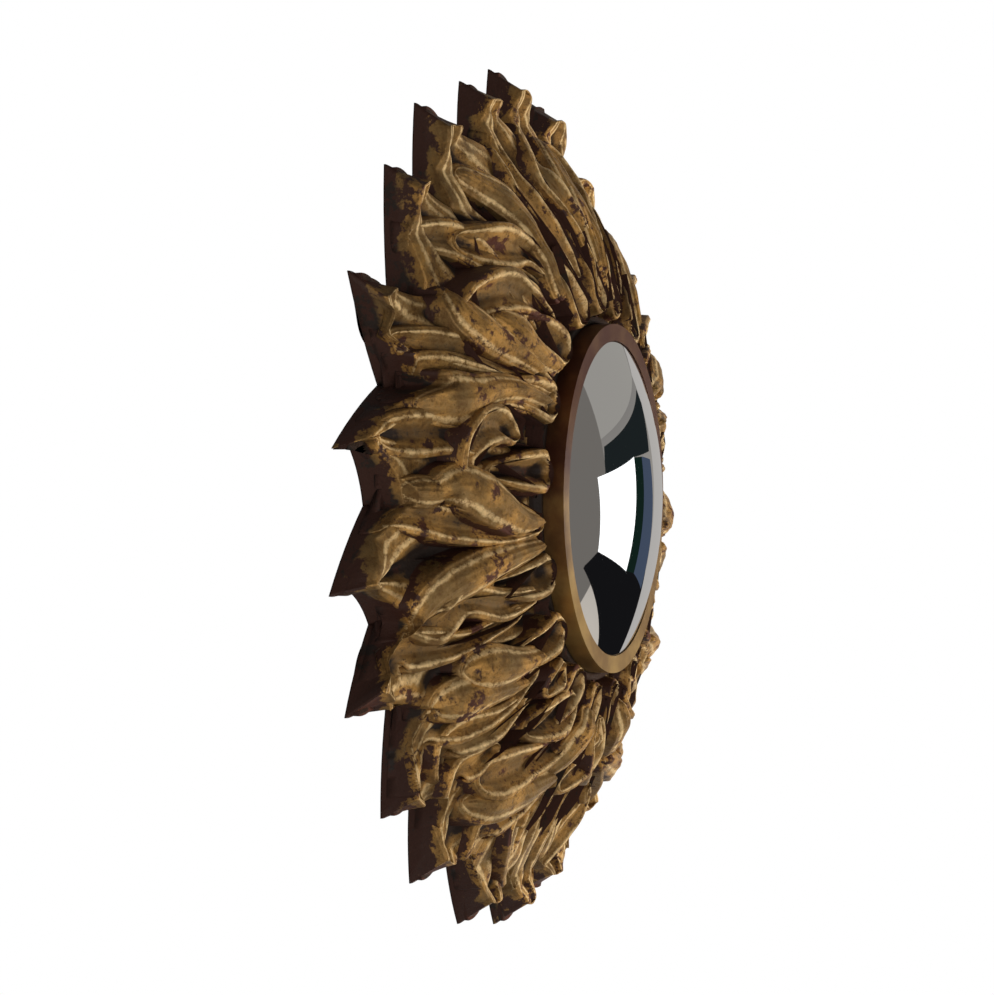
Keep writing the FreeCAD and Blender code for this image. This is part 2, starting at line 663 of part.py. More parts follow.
# ------------------------------------------------------------------ check and export
doc.recompute()
pieces = [
    leaf_frame,
    mirror_ring,
    convex_mirror,
    packing_ring,
    backing_board,
    *turn_buttons,
    turn_button_screws,
    hanger_plate,
    hanger_ring,
    hanger_screws,
    bumper_pads,
]
for thing in doc.Objects:
    if "Invalid" in thing.State or "Error" in thing.State:
        raise RuntimeError(f"{thing.Label} did not build: {thing.State}")
for piece in pieces:
    if piece.Shape.isNull() or not piece.Shape.isValid():
        raise RuntimeError(f"{piece.Label} is not a valid solid")
    piece.Shape.exportStep(f"parts/{piece.Label}.step")
    box = piece.Shape.optimalBoundingBox(False)
    corners = [round(number, 1) for number in (box.XMin, box.XMax, box.YMin, box.YMax, box.ZMin, box.ZMax)]
    print(piece.Label, len(piece.Shape.Solids), round(piece.Shape.Volume), corners)
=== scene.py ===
"""Convex butler's mirror, dressed for the picture: carved and gilded leaves, brass ring, domed glass."""

import math

import bpy
import numpy as np
from mathutils import Matrix, Vector


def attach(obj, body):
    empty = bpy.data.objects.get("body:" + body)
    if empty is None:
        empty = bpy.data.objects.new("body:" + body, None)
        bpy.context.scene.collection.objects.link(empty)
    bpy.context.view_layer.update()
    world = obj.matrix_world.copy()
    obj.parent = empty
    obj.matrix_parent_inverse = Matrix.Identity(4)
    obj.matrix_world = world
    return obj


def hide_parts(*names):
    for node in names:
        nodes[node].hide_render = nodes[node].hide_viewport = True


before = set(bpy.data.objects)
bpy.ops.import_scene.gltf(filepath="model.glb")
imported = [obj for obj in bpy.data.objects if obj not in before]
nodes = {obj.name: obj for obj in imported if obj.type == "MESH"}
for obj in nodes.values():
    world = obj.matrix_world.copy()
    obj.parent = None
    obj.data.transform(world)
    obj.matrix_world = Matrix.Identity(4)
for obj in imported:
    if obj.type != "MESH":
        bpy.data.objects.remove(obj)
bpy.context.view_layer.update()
scene = bpy.context.scene
scene.view_settings.view_transform = "Standard"
MM = 0.001

# ---------------------------------------------------------------- camera and studio
# The mirror hangs free in front of white paper.  The camera stands well round to the mirror's left, level
# with its centre.  Cards for a window, a dark door and pale walls stand where the domed glass shows them.
CAMERA_AZIMUTH = -70.34
CAMERA_ELEVATION = -0.88
CAMERA_DISTANCE = 1.3507
CAMERA_ROLL = 0.49
SENSOR_WIDTH = 36.0
PHOTO_WIDTH = 994
FOCAL_PIXELS = 2133.2
OFF_CENTRE = (2.3, 0.6)

azimuth, elevation = math.radians(CAMERA_AZIMUTH), math.radians(CAMERA_ELEVATION)
away = Vector((
    math.sin(azimuth) * math.cos(elevation),
    -math.cos(azimuth) * math.cos(elevation),
    math.sin(elevation),
))
camera_data = bpy.data.cameras.new("camera")
camera_data.sensor_width = SENSOR_WIDTH
camera_data.lens = SENSOR_WIDTH * FOCAL_PIXELS / PHOTO_WIDTH
camera_data.shift_x = -OFF_CENTRE[0] / PHOTO_WIDTH
camera_data.shift_y = OFF_CENTRE[1] / PHOTO_WIDTH
camera = bpy.data.objects.new("camera", camera_data)
level = (-away).to_track_quat("-Z", "Y").to_matrix().to_4x4()
roll = Matrix.Rotation(math.radians(CAMERA_ROLL), 4, "Z")
camera.matrix_world = Matrix.Translation(away * CAMERA_DISTANCE) @ level @ roll
scene.collection.objects.link(camera)
scene.camera = camera


class Value:
    """A socket of a node tree that takes part in sums, and makes any other node of that tree."""

    def __init__(self, tree, socket=None):
        self.tree = tree
        self.socket = socket

    def node(self, kind, settings=(), output=0, **inputs):
        """Any node: its settings first, then its sockets by name (_ for a blank) or by number (in_0)."""
        made = self.tree.nodes.new(kind)
        for name, value in dict(settings).items():
            setattr(made, name, value)
        for name, value in inputs.items():
            key = int(name[3:]) if name.startswith("in_") else name.replace("_", " ")
            if isinstance(value, Value):
                self.tree.links.new(value.socket, made.inputs[key])
            else:
                made.inputs[key].default_value = value
        return Value(self.tree, made.outputs[output])

    def sum(self, operation, first, second=0.0):
        return self.node("ShaderNodeMath", {"operation": operation}, in_0=first, in_1=second)

    def __add__(self, other):
        return self.sum("ADD", self, other)

    def __sub__(self, other):
        return self.sum("SUBTRACT", self, other)

    def __rsub__(self, other):
        return self.sum("SUBTRACT", other, self)

    def __mul__(self, other):
        return self.sum("MULTIPLY", self, other)

    __radd__ = __add__
    __rmul__ = __mul__

    def step(self, low, high):
        """0 below low, 1 above high, smooth between them."""
        settings = {"interpolation_type": "SMOOTHSTEP"}
        return self.node("ShaderNodeMapRange", settings, in_0=self, in_1=low, in_2=high)

    def blend(self, first, second):
        """Colour mix by this value."""
        settings = {"data_type": "RGBA"}
        return self.node("ShaderNodeMix", settings, output=2, in_0=self, in_6=first, in_7=second)


# The room's light comes from below more than from above; the camera sees white paper instead.
ROOM_LOW = (0.66, 0.60, 0.53, 1.0)
ROOM_HIGH = (0.16, 0.155, 0.15, 1.0)
WHITE = (1.0, 1.0, 1.0, 1.0)

world = bpy.data.worlds.new("studio")
world.use_nodes = True
scene.world = world
sky = Value(world.node_tree)
rays = world.node_tree.nodes.new("ShaderNodeLightPath")
seen = sky.sum("MAXIMUM", Value(world.node_tree, rays.outputs["Is Camera Ray"]),
               Value(world.node_tree, rays.outputs["Is Transmission Ray"]))
background = world.node_tree.nodes["Background"]
height = sky.node("ShaderNodeSeparateXYZ", output=2, in_0=sky.node("ShaderNodeTexCoord"))
room = height.step(-0.7, 0.5).blend(ROOM_LOW, ROOM_HIGH)
tone = seen.blend(room, WHITE)
world.node_tree.links.new(tone.socket, background.inputs["Color"])
background.inputs["Strength"].default_value = 1.0


def toward(azimuth, elevation, distance):
    """A place seen from the mirror: azimuth in degrees from straight ahead to its right, and elevation."""
    around, up = math.radians(azimuth), math.radians(elevation)
    level = math.cos(up)
    return distance * Vector((math.sin(around) * level, -math.cos(around) * level, math.sin(up)))


def stage_card(name, corners, colour, glow):
    """A flat card of the studio that the camera doesn't see; one that glows is black otherwise."""
    mesh = bpy.data.meshes.new(name)
    mesh.from_pydata(corners, [], [tuple(range(len(corners)))])
    card = bpy.data.objects.new(name, mesh)
    scene.collection.objects.link(card)
    card.visible_camera = False
    material = bpy.data.materials.new(name)
    material.use_nodes = True
    shader = material.node_tree.nodes["Principled BSDF"]
    shader.inputs["Base Color"].default_value = (0.0, 0.0, 0.0, 1.0) if glow else colour + (1.0,)
    shader.inputs["Roughness"].default_value = 1.0
    shader.inputs["Specular IOR Level"].default_value = 0.0
    shader.inputs["Emission Color"].default_value = colour + (1.0,)
    shader.inputs["Emission Strength"].default_value = glow
    mesh.materials.append(material)


def soft_lamp(name, place, power, size, reflected):
    """A square area lamp that faces the mirror's centre, and that the glass may show."""
    data = bpy.data.lights.new(name, "AREA")
    data.energy = power
    data.size = size
    lamp = bpy.data.objects.new(name, data)
    lamp.location = place
    lamp.rotation_euler = (-place).to_track_quat("-Z", "Y").to_euler()
    lamp.visible_glossy = reflected
    scene.collection.objects.link(lamp)


# What the glass shows, nearest first: corners (azimuth, elevation) seen from it, colour and strength.
NEAREST_CARD = 2.6
CARD_STEP = 0.08
ROOM_CARDS = [
    ("window", [(35, 4.8), (60, 7.1), (59, -10.5), (38, -10)], (1.0, 1.0, 1.0), 1.6),
    ("door_green", [(60, 7), (67, 6.5), (66, -9.5), (59, -10.4)], (0.006, 0.016, 0.012), 1.0),
    ("door_blue", [(67, 6.5), (76, 5.3), (77, -1.2), (78, -9), (66, -9.5)], (0.055, 0.075, 0.12), 1.0),
    ("furniture", [(32, -14), (38, -10), (59, -10.4), (78, -7), (84, -15), (80, -26), (58, -22)],
     (0.007, 0.007, 0.008), 1.0),
    ("beam", [(41, 10.5), (39, 5), (60, 7), (76, 6.2), (80, 10.8), (79, 12.7)], (0.012, 0.016, 0.017), 1.0),
    ("right_wall", [(80, 14), (78, -4), (82, -24), (150, -24), (150, 14)], (0.46, 0.44, 0.42), 1.0),
    ("left_wall", [(-20, -30), (-20, 24), (40, 24), (40, -14), (33, -30)], (0.165, 0.152, 0.138), 1.0),
    ("high_wall", [(40, 12), (40, 45), (100, 45), (95, 17), (79, 14)], (0.33, 0.315, 0.29), 1.0),
]
for number, (name, corners, colour, glow) in enumerate(ROOM_CARDS):
    distance = NEAREST_CARD + CARD_STEP * number
    stage_card(name, [toward(*corner, distance) for corner in corners], colour, glow)

soft_lamp("window_lamp", toward(42, -8, 2.3), 190.0, 0.7, reflected=False)
soft_lamp("fill_lamp", toward(-50, -12, 2.2), 16.0, 1.2, reflected=True)

FLOOR_HEIGHT = -0.45
FLOOR_REACH = 0.6
floor_corners = [(-FLOOR_REACH, -FLOOR_REACH), (FLOOR_REACH, -FLOOR_REACH),
                 (FLOOR_REACH, FLOOR_REACH), (-FLOOR_REACH, FLOOR_REACH)]
stage_card("floor", [(x, y, FLOOR_HEIGHT) for x, y in floor_corners], (0.8, 0.8, 0.78), 0.0)

# ---------------------------------------------------------------- cast frame: its back and its ground
# The frame is one resin casting: a back with a well, a hollow and a hanger's pocket, and a ground that falls
# from a collar at the brass ring to a rim of blunt hooked fingers, on which the leaves are carved.
RING_RADIUS = 108.0
OPENING = 108.6
COLLAR = 112.6
COLLAR_HEIGHT = 65.5
TIP_RADIUS = 268.0
TIP_SLANT = 15.0
CREST_HEIGHT = 73.0
VALLEY_HEIGHT = 64.0
DIP_RADIUS = 238.0
DIP_HEIGHT = 16.0
CREST_POWER = 1.6
FLARE_HEIGHT = 23.0
RIM_HEIGHT = 10.0
FINGER_WIDTH = 10.5
TIP_BULGE = 1.5
OUTER_BULGE = 2.0
INNER_BULGE = -3.0
WALL_INSET = 2.5
EDGE_ROUND = 3.0
COLLAR_DEPTH = 7.5
BACK_HOLLOW = 206.5
# Each tip, counter-clockwise from the top: angle of its outer corner, how far that lies inside the tip
# circle, the way the finger points, the angle of the leaf's root, and the notch's angle and depth after it.
LEFT_TIPS = [
    (96.0, 0.0, 1, 91.0, 98.5, 51.0),
    (107.5, 7.0, 1, 104.0, 111.5, 49.0),
    (124.0, 0.0, 1, 116.0, 133.2, 49.0),
    (137.0, 4.0, 1, 126.0, 150.2, 52.0),
    (154.4, 0.0, 1, 145.0, 163.8, 60.0),
    (175.4, 7.0, -1, 165.0, 182.1, 50.0),
    (192.0, 1.0, -1, 188.0, 199.0, 47.0),
    (206.6, 0.0, -1, 211.0, 212.9, 49.0),
    (223.4, 7.5, -1, 229.0, 229.1, 42.0),
    (236.5, 3.0, -1, 241.0, 246.5, 38.0),
    (255.0, 2.0, -1, 255.0, 264.0, 41.0),
]
BOTTOM_TIP = (269.0, 0.0, -1, 270.0, 276.0, 41.0)
UPPER_RIGHT_TIPS = [(60.5, 8.0, 1, 64.0, 70.0, 46.0), (76.4, 0.0, 1, 78.0, 85.0, 49.0)]
right_tips = []
for number in range(len(LEFT_TIPS) - 1, 2, -1):
    angle, drop, way, root, _, _ = LEFT_TIPS[number]
    _, _, _, _, notch, depth = LEFT_TIPS[number - 1]
    right_tips.append((180 - angle, drop, way, 180 - root, 180 - notch, depth))
TIPS = LEFT_TIPS + [BOTTOM_TIP] + right_tips + UPPER_RIGHT_TIPS


def plan(radius, angle):
    """A place seen from the front, (x, z) in millimetres, at a radius and an angle in degrees."""
    turn = np.radians(angle)
    return np.stack([radius * np.cos(turn), radius * np.sin(turn)], -1)


def valley(radius):
    """Height of the ground: an even fall from the collar to the dip, then level."""
    out = np.clip((radius - RING_RADIUS) / (DIP_RADIUS - RING_RADIUS), 0, 1)
    return RIM_HEIGHT + (VALLEY_HEIGHT - RIM_HEIGHT) * (1 - out)


def crest(radius):
    """Height of the leaves: it falls ever faster to the dip, then flares up to the tips."""
    out = np.clip((radius - RING_RADIUS) / (DIP_RADIUS - RING_RADIUS), 0, 1)
    flare = np.clip((radius - DIP_RADIUS) / (TIP_RADIUS - TIP_SLANT - DIP_RADIUS), 0, 1)
    fall = CREST_HEIGHT - (CREST_HEIGHT - DIP_HEIGHT) * out**CREST_POWER
    return fall + (FLARE_HEIGHT - DIP_HEIGHT) * np.sin(flare * np.pi / 2)


def tip_corners(tip):
    """The two corners of a tip on the back plane: the outer one, and the one nearer the centre line."""
    angle, drop, way, _, _, _ = tip
    outer = plan(TIP_RADIUS - drop, angle)
    side = -1.0 if outer[0] < 0 else 1.0
    return outer, outer - np.array([side * 2 * FINGER_WIDTH, way * FINGER_WIDTH / 3])


def bulged(a, b, rise, count=14):
    """Points from a up to b on a flat arc (a parabola), whose middle lies outside the chord by rise."""
    t = np.linspace(0, 1, count, endpoint=False)[:, None]
    across = np.array([b[1] - a[1], a[0] - b[0]])
    across = across / np.linalg.norm(across)
    if across @ (a + b) < 0:
        across = -across
    return a + (b - a) * t + across * rise * 4 * t * (1 - t)


def outline():
    """The frame seen from the front, as a closed run of points."""
    runs = []
    for number, tip in enumerate(TIPS):
        before = TIPS[number - 1]
        start, finish = plan(TIP_RADIUS - before[5], before[4]), plan(TIP_RADIUS - tip[5], tip[4])
        outer, inner = tip_corners(tip)
        hooked_first = (tip[2] > 0) == (outer[0] < 0)
        first, second = (inner, outer) if hooked_first else (outer, inner)
        bulges = (INNER_BULGE, OUTER_BULGE) if hooked_first else (OUTER_BULGE, INNER_BULGE)
        runs += [
            bulged(start, first, bulges[0]),
            bulged(first, second, TIP_BULGE),
            bulged(second, finish, bulges[1]),
        ]
    return np.concatenate(runs)


def make_piece(name, points, quads, marks=None):
    """A mesh object from points in millimetres, as (x, height forward, z), with faces turned outwards."""
    mesh = bpy.data.meshes.new(name)
    places = np.stack([points[:, 0], -points[:, 1], points[:, 2]], -1) * MM
    mesh.vertices.add(len(places))
    mesh.vertices.foreach_set("co", places.ravel())
    mesh.loops.add(quads.size)
    mesh.loops.foreach_set("vertex_index", quads.ravel())
    mesh.polygons.add(len(quads))
    mesh.polygons.foreach_set("loop_start", np.arange(0, quads.size, quads.shape[1]))
    mesh.polygons.foreach_set("use_smooth", np.ones(len(quads), bool))
    if marks is not None:
        layer = mesh.color_attributes.new("relief", "FLOAT_COLOR", "POINT")
        layer.data.foreach_set("color", np.concatenate([marks, np.ones((len(marks), 1))], 1).ravel())
    mesh.update(calc_edges=True)
    mesh.validate()
    piece = bpy.data.objects.new(name, mesh)
    scene.collection.objects.link(piece)
    return piece


def grid_quads(rows, columns):
    """Faces of a grid of rows by columns whose columns close on themselves."""
    index = np.arange(rows * columns).reshape(rows, columns)
    ahead = np.roll(index, -1, 1)
    return np.stack([index[:-1], index[1:], ahead[1:], ahead[:-1]], -1).reshape(-1, 4)


def ground():
    """Rows that follow the outline: up its wall, over a soft edge, then in along the slope to the collar."""
    edge = outline()
    edge *= 1 - WALL_INSET / np.hypot(edge[:, 0], edge[:, 1])[:, None]
    radius = np.hypot(edge[:, 0], edge[:, 1])
    angle = np.degrees(np.arctan2(edge[:, 1], edge[:, 0]))
    level = np.ones(len(edge))
    rows = [(edge, level * 0.0), (edge, level * (RIM_HEIGHT - EDGE_ROUND))]
    for share in np.linspace(0.012, 1, 40):
        reach = radius + (COLLAR - radius) * share
        height = valley(reach) - EDGE_ROUND * (share < 0.02)
        rows.append((plan(reach, angle), height))
    opening = plan(level * OPENING, angle)
    rows += [
        (plan(level * COLLAR, angle), level * COLLAR_HEIGHT),
        (opening, level * COLLAR_HEIGHT),
        (opening, level * (COLLAR_HEIGHT - COLLAR_DEPTH)),
    ]
    points = np.stack([np.stack([flat[:, 0], height, flat[:, 1]], -1) for flat, height in rows])
    wall = np.zeros(points.shape[:2])
    wall[:2] = 1.0
    # Green 0.8 all over the ground between the leaves: painted shade in dark wax; blue on its outer wall
    # rows for the red ground.
    marks = np.stack([np.zeros_like(wall), np.full_like(wall, 0.8), wall], -1)
    return points, marks


def back_of_casting():
    """The casting's back, copied from the CAD node with its corners merged.

    It has the triangles that face the wall, and those of the hollows within BACK_HOLLOW of the centre.
    """
    source = nodes["leaf_frame"].data
    count = len(source.polygons)
    corners = np.empty(count * 3, np.int64)
    source.polygons.foreach_get("vertices", corners)
    places = np.empty(len(source.vertices) * 3)
    source.vertices.foreach_get("co", places)
    places = places.reshape(-1, 3)
    corners = corners.reshape(-1, 3)
    a, b, c = places[corners[:, 0]], places[corners[:, 1]], places[corners[:, 2]]
    normal = np.cross(b - a, c - a)
    normal /= np.maximum(np.linalg.norm(normal, axis=1, keepdims=True), 1e-12)
    middle = (a + b + c) / 3
    radius = np.hypot(middle[:, 0], middle[:, 2])
    kept = (normal[:, 1] > 0.5) | ((normal[:, 1] > -0.05) & (radius < BACK_HOLLOW * MM))
    used = corners[kept].ravel()
    points = np.stack([places[used, 0], -places[used, 1], places[used, 2]], -1) / MM
    merged, index = np.unique(np.round(points, 3), axis=0, return_inverse=True)
    triangles = index.reshape(-1, 3)
    whole = (triangles != np.roll(triangles, 1, 1)).all(1)
    return merged, triangles[whole]


GOLD = (0.50, 0.265, 0.070, 1)
OLIVE_GOLD = (0.23, 0.140, 0.052, 1)
THIN_GOLD = (0.13, 0.070, 0.024, 1)
# The bright edge gold below is also a painted highlight on rims, and the dark wax is also painted shade in
# hollows.
WORN_EDGE_AND_HIGHLIGHT = (0.80, 0.57, 0.28, 1)
DARK_WAX_AND_SHADE = (0.016, 0.009, 0.006, 1)
PIT = (0.012, 0.007, 0.005, 1)
RED_GROUND = (0.036, 0.012, 0.007, 1)


def gilding():
    """Antiqued gilding over a dark red ground.

    The vertex marks say where a rim is (red), how hollow a place is (green) and how far down a wall (blue);
    noise breaks their edges, so that gold is rubbed off in patches and dark wax stays in the hollows.  The
    rims' bright gold is also a painted highlight, the hollows' dark wax is also painted shade, and the red
    ground low on the lobes' walls is painted shade.
    """
    material = bpy.data.materials.new("gilded_resin")
    material.use_nodes = True
    tree = material.node_tree
    shader = tree.nodes["Principled BSDF"]
    paint = Value(tree)
    place = paint.node("ShaderNodeTexCoord", output=3)
    marks = tree.nodes.new("ShaderNodeSeparateColor")
    tree.links.new(paint.node("ShaderNodeAttribute", {"attribute_name": "relief"}).socket, marks.inputs[0])
    rim, hollow, wall = [Value(tree, marks.outputs[channel]) for channel in range(3)]
    broad = paint.node("ShaderNodeTexNoise", Vector=place, Scale=38.0, Detail=5.0, Roughness=0.62)
    patch = paint.node("ShaderNodeTexNoise", Vector=place, Scale=130.0, Detail=6.0, Roughness=0.7)
    fine = paint.node("ShaderNodeTexNoise", Vector=place, Scale=480.0, Detail=5.0, Roughness=0.7)
    speck = paint.node("ShaderNodeTexNoise", Vector=place, Scale=1500.0, Detail=3.0, Roughness=0.6)
    rough = patch * 0.6 + fine * 0.4 - 0.5
    # Dark wax in the hollows that is also painted shade: it deepens with the hollow and sheltered marks.
    wax_and_shade = (hollow * 1.15 + rough * 1.5).step(0.22, 0.80)
    # Rims and vein crests: bright worn gold that is also a painted highlight.
    highlit = (rim * 0.8 + rough * 2.2).step(0.45, 1.0)
    # Red ground on the walls: the tips' own red bole, and painted shade low on the lobes' walls.
    red_ground_and_shade = (wall * 0.95 - (patch - 0.5) * 3.4 - (broad - 0.5) * 4.2).step(0.38, 0.70)
    olive = (broad + rough * 0.5).step(0.40, 0.62)
    gold = olive.blend(GOLD, OLIVE_GOLD)
    mottled = (rough + 0.5).step(0.38, 0.60).blend(THIN_GOLD, gold)
    bright = (highlit * 0.85).blend(mottled, WORN_EDGE_AND_HIGHLIGHT)
    shaded = wax_and_shade.blend(bright, DARK_WAX_AND_SHADE)
    walls = red_ground_and_shade.blend(shaded, RED_GROUND)
    pits = fine.step(0.60, 0.68) * 0.7
    colour = pits.blend(walls, PIT)
    tree.links.new(colour.socket, shader.inputs["Base Color"])
    dull = wax_and_shade * 0.25 + red_ground_and_shade * 0.12 + 0.31 + speck * 0.14
    tree.links.new(dull.socket, shader.inputs["Roughness"])
    metal = (1 - wax_and_shade) * (1 - red_ground_and_shade) * 0.65
    tree.links.new(metal.socket, shader.inputs["Metallic"])
    shader.inputs["Specular IOR Level"].default_value = 0.28
    bumps = fine * 0.45 + speck * 0.2 + patch * 0.8
    bump = paint.node("ShaderNodeBump", Height=bumps, Strength=0.45, Distance=0.0022)
    tree.links.new(bump.socket, shader.inputs["Normal"])
    return material


points, marks = ground()
gilt = gilding()
ground_quads = grid_quads(*points.shape[:2])
frame_ground = make_piece("frame_ground", points.reshape(-1, 3), ground_quads, marks.reshape(-1, 3))
frame_ground.data.materials.append(gilt)
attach(frame_ground, "frame")

back_points, back_triangles = back_of_casting()
# The back takes the green mark, painted shade in dark wax, and the blue mark for the red ground.
back_marks = np.tile([0.0, 0.9, 1.0], (len(back_points), 1))
frame_back = make_piece("frame_back", back_points, back_triangles, back_marks)
frame_back.data.polygons.foreach_set("use_smooth", np.zeros(len(back_triangles), bool))
frame_back.data.materials.append(gilt)
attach(frame_back, "frame")
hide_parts("leaf_frame")

# ---------------------------------------------------------------- carved leaves
# Every lobe of every leaf is one gouged blade that stands up from the ground: a hollow between raised rims,
# rounded over into steep walls.  Fingers carry the hooked tips, blades and curls lie over their roots.
AROUND = 100
TOP_RINGS = 14
RIDGE = 0.72
LOBE_ROUND = 1.6
LOBE_DRAFT = 2.5
LOBE_VEINS = 0.22
LOBE_ROLL = 1.6
RIM_MARGIN = 0.6
LEAF_AROUND = 200
LEAF_RINGS = 34
LEAF_ROOT = 116.0
NOTCH_RADIUS = 206.0
CHANNEL = 7.0
CHANNEL_EDGE = 0.5
FLUTE_WIDTH = 0.34
SHOULDER = 0.78
SHOULDER_DROP = 12.0
TIP_DROP = 1.5
SLANT = 14.0
SLANT_START = 32.0
BEAKS = (5, 17)
BEAK_SLANT = 5.0
LEVEL_TIP = 60.0
SOLID_TIP = 222.0
WELL_RADIUS = 125.0
WELL_HEIGHT = 59.0
FOOT = 0.4


def smooth_run(stations, count=160):
    """Catmull-Rom curve through the stations' rows, at count even places; every column is carried along."""
    before, after = 2 * stations[:1] - stations[1:2], 2 * stations[-1:] - stations[-2:-1]
    rows = np.concatenate([before, stations, after])
    place = np.linspace(0, len(stations) - 1, count)
    piece = np.minimum(place.astype(int), len(stations) - 2)
    t = (place - piece)[:, None]
    a, b, c, d = rows[piece], rows[piece + 1], rows[piece + 2], rows[piece + 3]
    bend, twist = 2 * a - 5 * b + 4 * c - d, 3 * b - a - 3 * c + d
    return 0.5 * (2 * b + (c - a) * t + bend * t**2 + twist * t**3)


def farthest():
    """The outline's greatest radius at every half degree, as (angles, radii)."""
    edge = outline()
    t = np.linspace(0, 1, 16, endpoint=False)[None, :, None]
    dense = (edge[:, None] * (1 - t) + np.roll(edge, -1, 0)[:, None] * t).reshape(-1, 2)
    sector = (np.degrees(np.arctan2(dense[:, 1], dense[:, 0])) % 360 * 2).astype(int)
    radii = np.zeros(720)
    np.maximum.at(radii, sector, np.hypot(dense[:, 0], dense[:, 1]))
    return np.arange(720) / 2 + 0.25, radii


RIM_ANGLES, RIM_RADII = farthest()


def inside(flat):
    """The same places, drawn in towards the centre where they lie past the frame's outline."""
    angle = np.degrees(np.arctan2(flat[:, 1], flat[:, 0]))
    limit = np.interp(angle, RIM_ANGLES, RIM_RADII, period=360) - RIM_MARGIN
    return plan(np.minimum(np.hypot(flat[:, 0], flat[:, 1]), limit), angle)


def lobe(stations, hollow):
    """One carved lobe.

    stations: rows of (x, z, half width, lift over the crest) from root to tip.  A closed loop runs round
    the lobe at s = (1 - cos t) / 2 along it, with the half width times a quarter circle at both ends.
    Rings from the spine (a = 0) to that loop (a = 1) make the top, at the height
    crest + lift - hollow * (1 - a^2)^2 - roll * (how far a is past the ridge)^2, with five fine veins;
    a quarter round and a drafted wall follow, then a closed foot.  Returns points and marks on a grid.
    """
    run = smooth_run(np.asarray(stations, float))
    step = np.hypot(*np.diff(run[:, :2], axis=0).T)
    gone = np.concatenate([[0], np.cumsum(step)])
    length = gone[-1]
    turn = np.linspace(0, 2 * np.pi, AROUND, endpoint=False)
    along = (1 - np.cos(turn)) / 2 * length
    side = np.where(turn < np.pi, 1.0, -1.0)
    x, z, half, lift = [np.interp(along, gone, column) for column in run.T]
    slope = np.gradient(run[:, :2], gone, axis=0)
    heading = np.stack([np.interp(along, gone, column) for column in slope.T], -1)
    heading /= np.linalg.norm(heading, axis=1, keepdims=True)
    beside = np.stack([heading[:, 1], -heading[:, 0]], -1)
    from_root = np.clip(along / max(run[0, 2], 2.0), 0, 1)
    from_tip = np.clip((length - along) / max(run[-1, 2], 2.0), 0, 1)
    ends = (1 - (1 - from_root) ** 2) ** 0.5 * (1 - (1 - from_tip) ** 2) ** 0.5
    centre = np.stack([x, z], -1)
    loop = centre + beside * (side * half * ends)[:, None]
    tangent = np.roll(loop, -1, 0) - np.roll(loop, 1, 0)
    outward = np.stack([tangent[:, 1], -tangent[:, 0]], -1)
    outward /= np.maximum(np.linalg.norm(outward, axis=1, keepdims=True), 1e-9)
    outward *= np.sign(np.sum((loop - loop.mean(0)) * outward))
    top = crest(np.hypot(x, z)) + lift
    bottom = np.minimum(sunk(np.hypot(loop[:, 0], loop[:, 1])), top - 3.0)
    bowl = ends**1.5
    none = np.zeros(AROUND)
    rings, marks = [], []
    for a in np.linspace(0, 1, TOP_RINGS):
        flat = centre + (loop - centre) * a
        dip = hollow * (1 - a**2) ** 2 * bowl
        rolled = LOBE_ROLL * max(0.0, (a - RIDGE) / (1 - RIDGE)) ** 2
        waves = LOBE_VEINS * np.cos(5 * np.pi * a) * bowl * (1 - a**4)
        wobble = 0.5 * np.sin(0.21 * flat[:, 0] + 1.3) * np.sin(0.24 * flat[:, 1])
        rings.append((flat, top - dip - rolled + waves + wobble))
        # Red mark: painted highlight along the rim and the vein crests; green mark: painted shade that
        # deepens with the hollow.
        vein_highlight = 0.25 * max(math.cos(5 * math.pi * a), 0.0) * (1 - a**4)
        near = max(math.exp(-(((a - RIDGE - 0.08) / 0.22) ** 2)), vein_highlight)
        marks.append(np.stack([none + near, np.clip(dip / 6.0, 0, 1), none], -1))
    rim_height = rings[-1][1]
    for share in (0.25, 0.5, 0.75, 1.0):
        bend = share * np.pi / 2
        flat = loop + outward * LOBE_ROUND * np.sin(bend)
        rings.append((flat, rim_height - LOBE_ROUND * (1 - np.cos(bend))))
        # The rounded edge is marked for a painted highlight.
        marks.append(np.stack([none + 0.6 - 0.3 * share, none, none + 0.2], -1))
    for share in (0.08, 0.2, 0.4, 0.65, 1.0):
        flat = loop + outward * (LOBE_ROUND + LOBE_DRAFT * share)
        height = rim_height - LOBE_ROUND - (rim_height - LOBE_ROUND - bottom) * share
        rings.append((flat, height))
        # Blue mark, growing down the wall: painted shade low on the walls, in the red ground colour; red
        # mark: painted highlight near the top.
        down = np.clip((rim_height - height) / 7.0, 0, 1)
        marks.append(np.stack([0.3 * (1 - down), none, down], -1))
    rings.append((centre + (rings[-1][0] - centre) * 0.02, bottom))
    marks.append(marks[-1])
    rings = [(inside(flat), height) for flat, height in rings]
    grid = np.stack([np.stack([flat[:, 0], height, flat[:, 1]], -1) for flat, height in rings])
    return grid, np.stack(marks)


